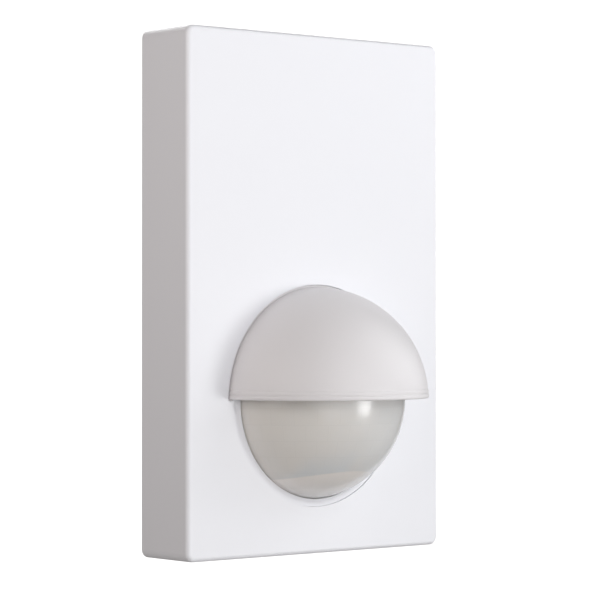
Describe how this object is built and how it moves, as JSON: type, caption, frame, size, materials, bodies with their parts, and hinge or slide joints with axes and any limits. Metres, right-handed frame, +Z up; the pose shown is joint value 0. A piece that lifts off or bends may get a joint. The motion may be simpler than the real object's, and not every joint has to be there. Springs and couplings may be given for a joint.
{
  "type": "motion sensor light switch",
  "caption": "White wall-mounted motion sensor light switch: flat rectangular panel with a milky lens dome under a half-dome hood, hinged on a wall bracket",
  "frame": {"origin": "on the wall, at the middle of the panel's width and height", "axes": "+Z up, -Y out of the wall towards the room, +X to the right as seen from the room"},
  "size_m": [0.076, 0.056, 0.12],
  "materials": {
    "panel_white": "satin, very finely grained",
    "hood_white": "satin",
    "lens_milky": "translucent, satin outside",
    "inner_white": "satin",
    "bracket_grey": "satin",
    "seal_rubber": "matt",
    "grommet_rubber": "matt",
    "screw_steel": "zinc plated",
    "clamp_brass": "plain",
    "block_plastic": "satin",
    "board_green": "solder mask",
    "relay_blue": "satin",
    "capacitor_yellow": "moulded",
    "sleeve_black": "shrunk sleeve",
    "varistor_blue": "dipped coat",
    "fuse_brown": "satin",
    "ferrite_grey": "ground ferrite",
    "copper_wire": "enamelled",
    "part_black": "satin",
    "connector_cream": "satin",
    "can_metal": "drawn metal",
    "window_silicon": "dark, polished",
    "light_clear": "clear",
    "light_red": "clear red",
    "knob_grey": "satin"
  },
  "bodies": {
    "bracket": {"wall_bracket": "bracket_grey", "rim_seal": "seal_rubber", "hinge_pin": "screw_steel", "cable_grommet": "grommet_rubber", "sealing_plug": "grommet_rubber", "terminal_block": "block_plastic", "terminal_block_screws": "screw_steel", "terminal_clamps": "clamp_brass", "terminal_screws": "screw_steel"},
    "latch": {"latch_lug": "bracket_grey"},
    "housing": {"sensor_housing": "inner_white", "housing_back": "inner_white", "housing_gasket": "seal_rubber", "housing_screws": "screw_steel", "lens_seal": "seal_rubber", "lens_ring": "inner_white", "main_board": "board_green", "board_screws": "screw_steel", "contact_blades": "clamp_brass", "relay": "relay_blue", "film_capacitor": "capacitor_yellow", "storage_capacitor": "sleeve_black", "varistor": "varistor_blue", "fuse": "fuse_brown", "choke_core": "ferrite_grey", "choke_winding": "copper_wire", "microcontroller": "part_black", "board_connector": "connector_cream", "sensor_board": "board_green", "sensor_board_screws": "screw_steel", "sensor_carrier": "part_black", "pir_sensor_left": "can_metal", "pir_sensor_right": "can_metal", "pir_window_left": "window_silicon", "pir_window_right": "window_silicon", "light_sensor": "light_clear", "status_light": "light_red", "light_level_potentiometer": "part_black", "time_potentiometer": "part_black"},
    "panel": {"front_panel": "panel_white", "lens_hood": "hood_white"},
    "lens": {"fresnel_lens": "lens_milky"},
    "light_level_dial": {"light_level_knob": "knob_grey"},
    "time_dial": {"time_knob": "knob_grey"},
    "lock": {"locking_screw": "screw_steel"}
  },
  "joints": [
    {"name": "housing_swing", "type": "hinge", "parent": "bracket", "child": "housing", "pos_m": [0, -0.0106, 0.0504], "axis": [-1, 0, 0], "range_deg": [0, 85]},
    {"name": "latch_flex", "type": "hinge", "parent": "bracket", "child": "latch", "pos_m": [0, -0.002, -0.0516], "axis": [-1, 0, 0], "range_deg": [0, 6], "stiffness_Nm_per_rad": 0.4},
    {"name": "panel_slide", "type": "slide", "parent": "housing", "child": "panel", "axis": [0, -1, 0], "range_m": [0, 0.032]},
    {"name": "lens_turn", "type": "hinge", "parent": "housing", "child": "lens", "pos_m": [0, -0.0257, -0.0243], "axis": [0, -1, 0], "range_deg": [0, 180]},
    {"name": "light_level_turn", "type": "hinge", "parent": "housing", "child": "light_level_dial", "pos_m": [-0.013, -0.0257, 0.017], "axis": [0, -1, 0], "range_deg": [0, 270]},
    {"name": "time_turn", "type": "hinge", "parent": "housing", "child": "time_dial", "pos_m": [0.013, -0.0257, 0.017], "axis": [0, -1, 0], "range_deg": [0, 270]},
    {"name": "locking_screw_turn", "type": "hinge", "parent": "housing", "child": "lock", "pos_m": [0, -0.0207, -0.056], "axis": [0, 0, 1], "range_deg": [0, 720]}
  ]
}
